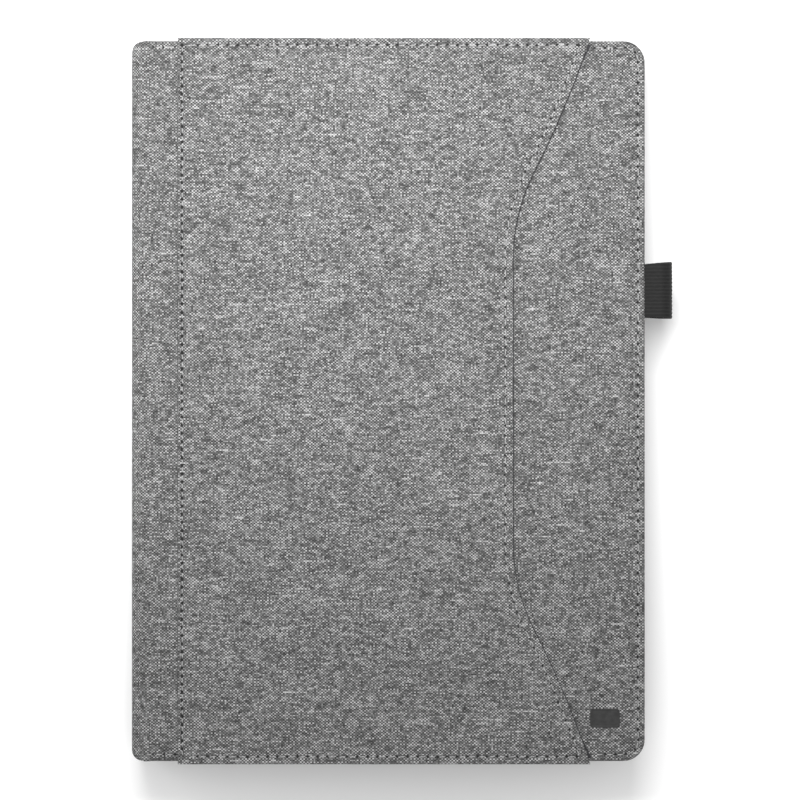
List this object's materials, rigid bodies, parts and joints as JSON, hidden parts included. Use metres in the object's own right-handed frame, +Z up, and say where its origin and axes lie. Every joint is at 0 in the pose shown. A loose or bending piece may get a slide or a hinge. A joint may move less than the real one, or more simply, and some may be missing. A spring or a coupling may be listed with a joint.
{
  "type": "tablet keyboard case",
  "caption": "Book-style folio keyboard case for a tablet, closed, with a curved front pocket, an elastic pen loop, a hidden keyboard and a fold-out tablet stand.",
  "frame": {"origin": "middle of the back cover's underside, on the surface the closed case lies on", "axes": "+X from the spine to the opening edge, +Y along the spine towards the pen loop's end, +Z up through the front cover"},
  "size_m": [0.2014, 0.27, 0.0278],
  "materials": {
    "linen_weave": "heather grey woven polyester linen, matt",
    "microfibre_lining": "black brushed microfibre",
    "hinge_tape": "black woven tape",
    "greyboard": "pressed greyboard",
    "magnet": "nickel plated magnet",
    "printed_mark": "dark heat-pressed label, matt",
    "elastic_band": "black ribbed elastic",
    "foam_adhesive": "double-sided foam tape",
    "moulded_case": "fine textured moulded ABS",
    "stamped_steel": "stamped steel sheet",
    "printed_film": "printed polyester film",
    "silicone_domes": "translucent silicone rubber",
    "silicone_grip": "black silicone",
    "circuit_board": "green solder mask",
    "battery_foil": "laminated foil pouch",
    "socket_steel": "plated steel shell",
    "clear_pipe": "clear light pipe",
    "screw_steel": "zinc plated steel",
    "spring_wire": "spring steel wire",
    "control_plastic": "moulded ABS",
    "keycap_plastic": "matt painted ABS keycap with pale printed legends"
  },
  "bodies": {
    "back_cover": {"back_outer_fabric": "linen_weave", "back_board": "greyboard", "back_lining": "microfibre_lining", "stand_magnets": "magnet", "plate_hinge_tape": "hinge_tape", "hinge_fabric_back": "linen_weave", "hinge_lining_back": "microfibre_lining"},
    "spine": {"spine_outer_fabric": "linen_weave", "spine_board": "greyboard", "spine_lining": "microfibre_lining", "hinge_fabric_front": "linen_weave", "hinge_lining_front": "microfibre_lining"},
    "front_cover": {"front_outer_fabric": "linen_weave", "front_board": "greyboard", "front_lining": "microfibre_lining", "pocket_panel": "linen_weave", "front_mark": "printed_mark", "pen_loop": "elastic_band", "adhesive_pads": "foam_adhesive", "keyboard_tray": "moulded_case", "keyboard_frame": "moulded_case", "support_plate": "stamped_steel", "membrane_circuit": "printed_film", "dome_sheet": "silicone_domes", "controller_board": "circuit_board", "battery": "battery_foil", "charge_socket": "socket_steel", "status_lights": "clear_pipe", "case_screws": "screw_steel"},
    "tablet_holder": {"tablet_plate": "moulded_case", "plate_lining": "microfibre_lining", "grip_pads": "silicone_grip", "lower_hooks": "moulded_case", "clamp_springs": "spring_wire", "leg_hinge_tape": "hinge_tape"},
    "clamp": {"clamp_slider": "stamped_steel", "upper_hooks": "moulded_case"},
    "stand_leg": {"stand_leg": "moulded_case", "leg_magnets": "magnet"},
    "power_switch": {"power_switch": "control_plastic"},
    "connect_button": {"connect_button": "control_plastic"},
    "space_bar": {"space_bar": "keycap_plastic"},
    "enter_key": {"enter_key": "keycap_plastic"},
    "backspace_key": {"backspace_key": "keycap_plastic"},
    "tab_key": {"tab_key": "keycap_plastic"},
    "caps_key": {"caps_key": "keycap_plastic"},
    "left_shift_key": {"left_shift_key": "keycap_plastic"},
    "right_shift_key": {"right_shift_key": "keycap_plastic"},
    "escape_key": {"escape_key": "keycap_plastic"},
    "arrow_up_key": {"arrow_up_key": "keycap_plastic"},
    "arrow_left_key": {"arrow_left_key": "keycap_plastic"},
    "arrow_down_key": {"arrow_down_key": "keycap_plastic"},
    "arrow_right_key": {"arrow_right_key": "keycap_plastic"},
    "function_keys": {"function_keys": "keycap_plastic"},
    "number_keys": {"number_keys": "keycap_plastic"},
    "top_row_keys": {"top_row_keys": "keycap_plastic"},
    "home_row_keys": {"home_row_keys": "keycap_plastic"},
    "bottom_row_keys": {"bottom_row_keys": "keycap_plastic"},
    "modifier_keys": {"modifier_keys": "keycap_plastic"}
  },
  "joints": [
    {"name": "spine_hinge", "type": "hinge", "parent": "back_cover", "child": "spine", "pos_m": [-0.092, 0, 0.0035], "axis": [0, -1, 0], "range_deg": [0, 90], "deforming": ["hinge_fabric_back", "hinge_lining_back"]},
    {"name": "cover_hinge", "type": "hinge", "parent": "spine", "child": "front_cover", "pos_m": [-0.092, 0, 0.0243], "axis": [0, -1, 0], "range_deg": [0, 90], "deforming": ["hinge_fabric_front", "hinge_lining_front"]},
    {"name": "plate_tilt", "type": "hinge", "parent": "back_cover", "child": "tablet_holder", "pos_m": [-0.08, 0, 0.00505], "axis": [0, -1, 0], "range_deg": [0, 65], "deforming": ["plate_hinge_tape"]},
    {"name": "leg_fold", "type": "hinge", "parent": "tablet_holder", "child": "stand_leg", "pos_m": [-0.004, 0, 0.00505], "axis": [0, 1, 0], "range_deg": [0, 130], "deforming": ["leg_hinge_tape"]},
    {"name": "clamp_slide", "type": "slide", "parent": "tablet_holder", "child": "clamp", "axis": [1, 0, 0], "range_m": [0, 0.018], "stiffness_N_per_m": 120, "springref_m": -0.01, "deforming": ["clamp_springs"]},
    {"name": "switch_slide", "type": "slide", "parent": "front_cover", "child": "power_switch", "axis": [0, 1, 0], "range_m": [0, 0.0025]},
    {"name": "connect_press", "type": "slide", "parent": "front_cover", "child": "connect_button", "axis": [0, 0, 1], "range_m": [0, 0.0005], "stiffness_N_per_m": 400, "springref_m": -0.0005},
    {"name": "space_bar_press", "type": "slide", "parent": "front_cover", "child": "space_bar", "axis": [0, 0, 1], "range_m": [0, 0.0012], "stiffness_N_per_m": 250, "springref_m": -0.001, "deforming": ["dome_sheet"]},
    {"name": "enter_press", "type": "slide", "parent": "front_cover", "child": "enter_key", "axis": [0, 0, 1], "range_m": [0, 0.0012], "stiffness_N_per_m": 250, "springref_m": -0.001},
    {"name": "backspace_press", "type": "slide", "parent": "front_cover", "child": "backspace_key", "axis": [0, 0, 1], "range_m": [0, 0.0012], "stiffness_N_per_m": 250, "springref_m": -0.001},
    {"name": "tab_press", "type": "slide", "parent": "front_cover", "child": "tab_key", "axis": [0, 0, 1], "range_m": [0, 0.0012], "stiffness_N_per_m": 250, "springref_m": -0.001},
    {"name": "caps_press", "type": "slide", "parent": "front_cover", "child": "caps_key", "axis": [0, 0, 1], "range_m": [0, 0.0012], "stiffness_N_per_m": 250, "springref_m": -0.001},
    {"name": "left_shift_press", "type": "slide", "parent": "front_cover", "child": "left_shift_key", "axis": [0, 0, 1], "range_m": [0, 0.0012], "stiffness_N_per_m": 250, "springref_m": -0.001},
    {"name": "right_shift_press", "type": "slide", "parent": "front_cover", "child": "right_shift_key", "axis": [0, 0, 1], "range_m": [0, 0.0012], "stiffness_N_per_m": 250, "springref_m": -0.001},
    {"name": "escape_press", "type": "slide", "parent": "front_cover", "child": "escape_key", "axis": [0, 0, 1], "range_m": [0, 0.0012], "stiffness_N_per_m": 250, "springref_m": -0.001},
    {"name": "arrow_up_press", "type": "slide", "parent": "front_cover", "child": "arrow_up_key", "axis": [0, 0, 1], "range_m": [0, 0.0012], "stiffness_N_per_m": 250, "springref_m": -0.001},
    {"name": "arrow_left_press", "type": "slide", "parent": "front_cover", "child": "arrow_left_key", "axis": [0, 0, 1], "range_m": [0, 0.0012], "stiffness_N_per_m": 250, "springref_m": -0.001},
    {"name": "arrow_down_press", "type": "slide", "parent": "front_cover", "child": "arrow_down_key", "axis": [0, 0, 1], "range_m": [0, 0.0012], "stiffness_N_per_m": 250, "springref_m": -0.001},
    {"name": "arrow_right_press", "type": "slide", "parent": "front_cover", "child": "arrow_right_key", "axis": [0, 0, 1], "range_m": [0, 0.0012], "stiffness_N_per_m": 250, "springref_m": -0.001},
    {"name": "function_row_press", "type": "slide", "parent": "front_cover", "child": "function_keys", "axis": [0, 0, 1], "range_m": [0, 0.0012], "stiffness_N_per_m": 250, "springref_m": -0.001},
    {"name": "number_row_press", "type": "slide", "parent": "front_cover", "child": "number_keys", "axis": [0, 0, 1], "range_m": [0, 0.0012], "stiffness_N_per_m": 250, "springref_m": -0.001},
    {"name": "top_row_press", "type": "slide", "parent": "front_cover", "child": "top_row_keys", "axis": [0, 0, 1], "range_m": [0, 0.0012], "stiffness_N_per_m": 250, "springref_m": -0.001},
    {"name": "home_row_press", "type": "slide", "parent": "front_cover", "child": "home_row_keys", "axis": [0, 0, 1], "range_m": [0, 0.0012], "stiffness_N_per_m": 250, "springref_m": -0.001},
    {"name": "bottom_row_press", "type": "slide", "parent": "front_cover", "child": "bottom_row_keys", "axis": [0, 0, 1], "range_m": [0, 0.0012], "stiffness_N_per_m": 250, "springref_m": -0.001},
    {"name": "modifier_press", "type": "slide", "parent": "front_cover", "child": "modifier_keys", "axis": [0, 0, 1], "range_m": [0, 0.0012], "stiffness_N_per_m": 250, "springref_m": -0.001}
  ],
  "couplings": [
    {"joint": "plate_tilt", "follows": "cover_hinge", "ratio": 0.7222},
    {"joint": "leg_fold", "follows": "cover_hinge", "ratio": 1.4444}
  ]
}
